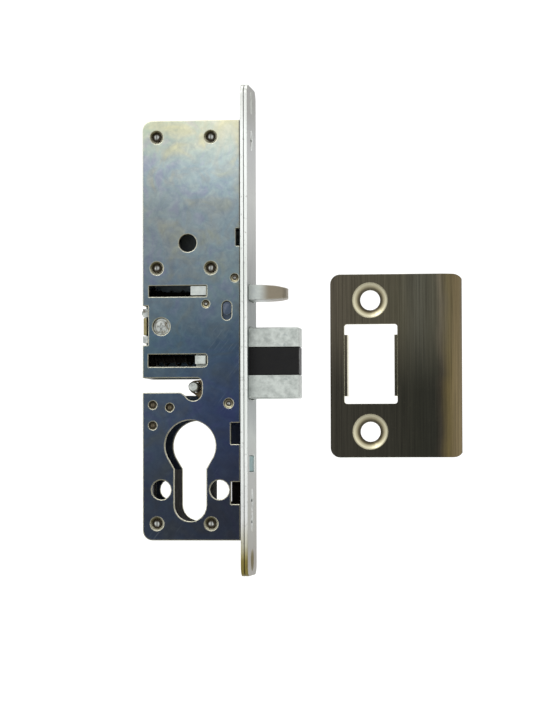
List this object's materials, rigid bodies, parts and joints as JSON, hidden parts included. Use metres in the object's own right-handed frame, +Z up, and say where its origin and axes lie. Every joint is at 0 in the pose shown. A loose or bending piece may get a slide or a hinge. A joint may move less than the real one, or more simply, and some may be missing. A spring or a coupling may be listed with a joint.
{
  "type": "mortise lock",
  "caption": "Narrow mortise deadlatch for a profile cylinder: plated case, long faceplate, sprung latch bolt, deadlocking trigger, drive lever and a separate lipped strike plate.",
  "frame": {"origin": "middle of the faceplate's front face, on the centre line of its height and width", "axes": "+X points out of the faceplate's front the way the bolts throw, +Y points from the cover side to the far side of the case, +Z points up along the faceplate"},
  "size_m": [0.1127, 0.0254, 0.1746],
  "materials": {
    "zinc_steel": "zinc plated",
    "bright_steel": "bright",
    "faceplate_steel": "brushed",
    "cast_steel": "speckled, as sintered",
    "brown_steel": "oiled brown",
    "spring_steel": "drawn wire",
    "black_pad": "satin",
    "brass_strip": "dull",
    "green_insert": "passivated",
    "strike_steel": "brushed, toned dark"
  },
  "bodies": {
    "case": {"case_body": "zinc_steel", "cover_plate": "zinc_steel", "forend": "zinc_steel", "faceplate": "faceplate_steel", "case_rivet_top_rear": "bright_steel", "case_rivet_top_front": "bright_steel", "case_rivet_middle_rear": "bright_steel", "case_rivet_middle_front": "bright_steel", "case_rivet_bottom_rear": "bright_steel", "case_rivet_bottom_front": "bright_steel", "trigger_guide_pin_upper": "bright_steel", "trigger_guide_pin_lower": "bright_steel", "latch_guide_pin": "bright_steel", "front_block_top": "bright_steel", "front_block_bottom": "bright_steel", "faceplate_screw_top": "bright_steel", "faceplate_screw_bottom": "bright_steel", "cylinder_screw_block": "brown_steel", "cylinder_guide": "brown_steel", "cylinder_screw": "bright_steel", "window_insert": "green_insert", "latch_spring": "spring_steel", "latch_spring_rod": "bright_steel", "trigger_spring": "spring_steel", "trigger_spring_rod": "bright_steel", "anchor_block": "bright_steel", "anchor_strip": "brass_strip", "anchor_screw": "bright_steel", "guide_bracket": "zinc_steel", "bracket_rivet_rear": "brown_steel", "bracket_rivet_front": "brown_steel", "bracket_rivet_low": "brown_steel"},
    "latch": {"latch_bolt": "cast_steel", "latch_insert": "black_pad", "drive_lever_pivot": "bright_steel"},
    "lever": {"drive_lever": "brown_steel", "drive_pin": "bright_steel"},
    "trigger": {"trigger_bolt": "cast_steel"},
    "deadlock": {"deadlock_block": "zinc_steel"},
    "strike": {"strike_plate": "strike_steel"}
  },
  "joints": [
    {"name": "latch_slide", "type": "slide", "parent": "case", "child": "latch", "axis": [1, 0, 0], "range_m": [-0.0166, 0], "stiffness_N_per_m": 150, "springref_m": 0.02, "deforming": ["latch_spring"]},
    {"name": "trigger_slide", "type": "slide", "parent": "case", "child": "trigger", "axis": [1, 0, 0], "range_m": [-0.0127, 0], "stiffness_N_per_m": 120, "springref_m": 0.015, "deforming": ["trigger_spring"]},
    {"name": "drive_lever_hinge", "type": "hinge", "parent": "latch", "child": "lever", "pos_m": [-0.0089, 0, -0.0192], "axis": [0, 1, 0], "range_deg": [-12, 0], "stiffness_Nm_per_rad": 0.01, "springref_deg": 17.19},
    {"name": "deadlock_drop", "type": "slide", "parent": "case", "child": "deadlock", "axis": [0, 0, 1], "range_m": [-0.0017, 0]},
    {"name": "strike_lift_away", "type": "slide", "parent": "case", "child": "strike", "axis": [1, 0, 0], "range_m": [0, 0.05]}
  ],
  "couplings": [
    {"joint": "deadlock_drop", "follows": "trigger_slide", "ratio": 0.1338}
  ]
}
